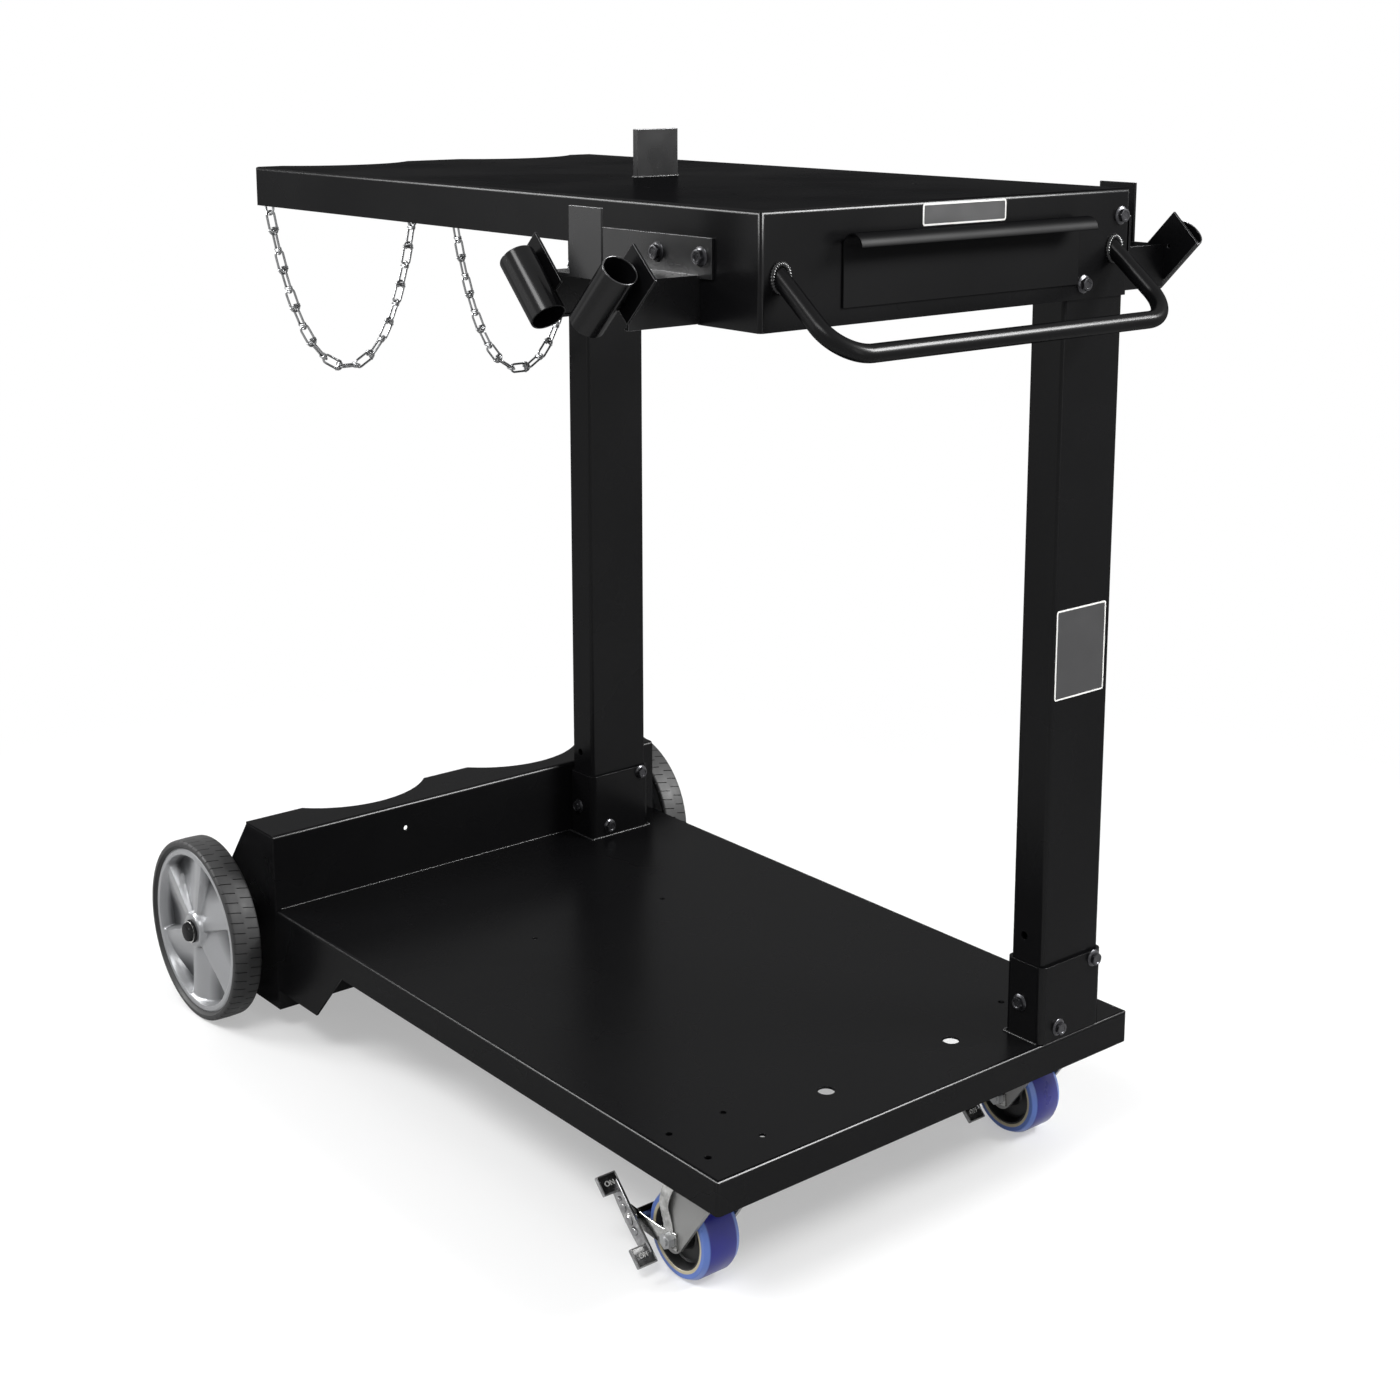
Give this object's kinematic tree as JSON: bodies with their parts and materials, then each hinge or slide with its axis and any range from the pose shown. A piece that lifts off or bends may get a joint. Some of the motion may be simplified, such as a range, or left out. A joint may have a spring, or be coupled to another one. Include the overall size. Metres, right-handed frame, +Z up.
{
  "type": "welding cart",
  "caption": "Welding cart with a machine deck, low bottle rack, upper shelf with drawer and push handle, torch holders, cable hooks, safety chains and braked casters.",
  "frame": {"origin": "centre of the bounding box's bottom face, on the floor", "axes": "+X to the cart's right, the side of the posts; +Y to the bottle rack, so -Y is the handle and drawer side; +Z up"},
  "size_m": [0.807, 1.2795, 1.231],
  "materials": {
    "black_powder_coat": "satin black powder coat",
    "black_oxide_bolts": "black finished steel",
    "zinc_plate": "zinc plated steel",
    "black_cap": "gloss black",
    "slide_plastic": "matte",
    "grey_rim": "satin grey moulding",
    "tyre_rubber": "matte",
    "bush_plastic": "matte",
    "bright_chain": "bright zinc plate",
    "satin_zinc": "satin zinc plate",
    "cream_core": "satin cream moulding",
    "blue_tread": "blue polyurethane",
    "bright_steel": "bright plated steel"
  },
  "bodies": {
    "frame": {"deck": "black_powder_coat", "bottle_wall": "black_powder_coat", "end_plates": "black_powder_coat", "bottle_platform": "black_powder_coat", "front_channel": "black_powder_coat", "rear_channel": "black_powder_coat", "post_sockets": "black_powder_coat", "rear_post": "black_powder_coat", "front_post": "black_powder_coat", "shelf": "black_powder_coat", "shelf_stop": "black_powder_coat", "handle": "black_powder_coat", "left_hook_arm": "black_powder_coat", "right_hook_arm": "black_powder_coat", "torch_plates": "black_powder_coat", "torch_tubes": "black_powder_coat", "frame_bolts": "black_oxide_bolts", "arm_bolts": "black_oxide_bolts", "frame_nuts": "zinc_plate", "arm_nuts": "zinc_plate", "caster_nuts": "zinc_plate", "caster_bolts": "zinc_plate", "axle_washers": "zinc_plate", "drawer_rails": "zinc_plate", "stub_axles": "zinc_plate", "chain_rings": "zinc_plate", "hub_caps": "black_cap", "caster_plates": "satin_zinc", "caster_kingpins": "satin_zinc"},
    "drawer": {"drawer_tray": "black_powder_coat", "drawer_face": "black_powder_coat", "drawer_strips": "slide_plastic"},
    "left_wheel": {"left_rim": "grey_rim", "left_tyre": "tyre_rubber", "left_bush": "bush_plastic"},
    "left_chain_body": {"left_chain": "bright_chain"},
    "left_caster": {"left_fork": "satin_zinc", "left_roll_axle": "zinc_plate", "left_roll_nut": "zinc_plate", "left_roll_sleeve": "zinc_plate", "left_brake_strap": "bright_steel"},
    "left_caster_wheel": {"left_core": "cream_core", "left_tread": "blue_tread"},
    "left_brake": {"left_brake_lever": "bright_steel", "left_brake_cam": "bright_steel"},
    "right_wheel": {"right_rim": "grey_rim", "right_tyre": "tyre_rubber", "right_bush": "bush_plastic"},
    "right_chain_body": {"right_chain": "bright_chain"},
    "right_caster": {"right_fork": "satin_zinc", "right_roll_axle": "zinc_plate", "right_roll_nut": "zinc_plate", "right_roll_sleeve": "zinc_plate", "right_brake_strap": "bright_steel"},
    "right_caster_wheel": {"right_core": "cream_core", "right_tread": "blue_tread"},
    "right_brake": {"right_brake_lever": "bright_steel", "right_brake_cam": "bright_steel"}
  },
  "joints": [
    {"name": "drawer_slide", "type": "slide", "parent": "frame", "child": "drawer", "axis": [0, -1, 0], "range_m": [0, 0.3]},
    {"name": "left_wheel_spin", "type": "hinge", "parent": "frame", "child": "left_wheel", "pos_m": [-0.3705, 0.51275, 0.127], "axis": [1, 0, 0], "continuous": true},
    {"name": "left_chain_swing", "type": "hinge", "parent": "frame", "child": "left_chain_body", "pos_m": [-0.142, 0.46425, 1.121], "axis": [1, 0, 0], "range_deg": [-60, 75]},
    {"name": "left_swivel", "type": "hinge", "parent": "frame", "child": "left_caster", "pos_m": [-0.261, -0.46425, 0.13], "axis": [0, 0, 1], "continuous": true},
    {"name": "left_caster_roll", "type": "hinge", "parent": "left_caster", "child": "left_caster_wheel", "pos_m": [-0.261, -0.42825, 0.0508], "axis": [1, 0, 0], "continuous": true},
    {"name": "left_brake_rock", "type": "hinge", "parent": "left_caster", "child": "left_brake", "pos_m": [-0.3, -0.36625, 0.0508], "axis": [1, 0, 0], "range_deg": [-28, 14]},
    {"name": "right_wheel_spin", "type": "hinge", "parent": "frame", "child": "right_wheel", "pos_m": [0.3705, 0.51275, 0.127], "axis": [1, 0, 0], "continuous": true},
    {"name": "right_chain_swing", "type": "hinge", "parent": "frame", "child": "right_chain_body", "pos_m": [0.142, 0.46425, 1.121], "axis": [1, 0, 0], "range_deg": [-14, 75]},
    {"name": "right_swivel", "type": "hinge", "parent": "frame", "child": "right_caster", "pos_m": [0.261, -0.46425, 0.13], "axis": [0, 0, 1], "continuous": true},
    {"name": "right_caster_roll", "type": "hinge", "parent": "right_caster", "child": "right_caster_wheel", "pos_m": [0.261, -0.42825, 0.0508], "axis": [1, 0, 0], "continuous": true},
    {"name": "right_brake_rock", "type": "hinge", "parent": "right_caster", "child": "right_brake", "pos_m": [0.222, -0.36625, 0.0508], "axis": [1, 0, 0], "range_deg": [-28, 14]}
  ]
}
